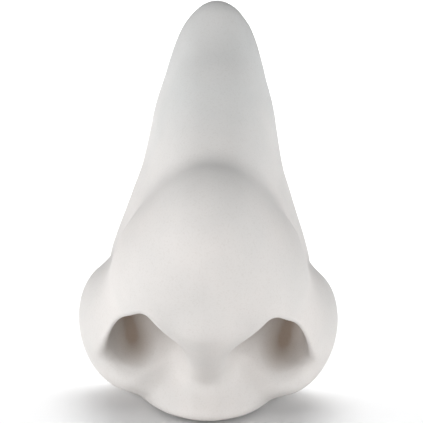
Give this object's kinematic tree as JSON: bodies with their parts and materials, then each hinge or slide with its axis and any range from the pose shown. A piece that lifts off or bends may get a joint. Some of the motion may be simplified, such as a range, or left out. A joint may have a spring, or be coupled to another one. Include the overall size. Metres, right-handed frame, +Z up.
{
  "type": "eyeglasses stand",
  "caption": "Table-top eyeglasses stand: a hollow ceramic nose with an upturned tip and two nostril hollows; spectacles rest across its bridge",
  "frame": {"origin": "centre of the bounding box in plan, on the surface that the feet stand on", "axes": "+Z up along the height, -Y to the front (the tip and nostrils), +X to the right seen from the front"},
  "size_m": [0.0696, 0.0634, 0.107],
  "materials": {
    "ceramic": "matte unglazed bisque, pale warm white, fine-grained",
    "plug_rubber": "soft off-white silicone",
    "foot_rubber": "translucent soft silicone"
  },
  "bodies": {
    "root": {"nose_shell": "ceramic", "drain_plug": "plug_rubber", "foot_rear_left": "foot_rubber", "foot_rear_right": "foot_rubber", "foot_front_left": "foot_rubber", "foot_front_right": "foot_rubber"}
  },
  "joints": []
}
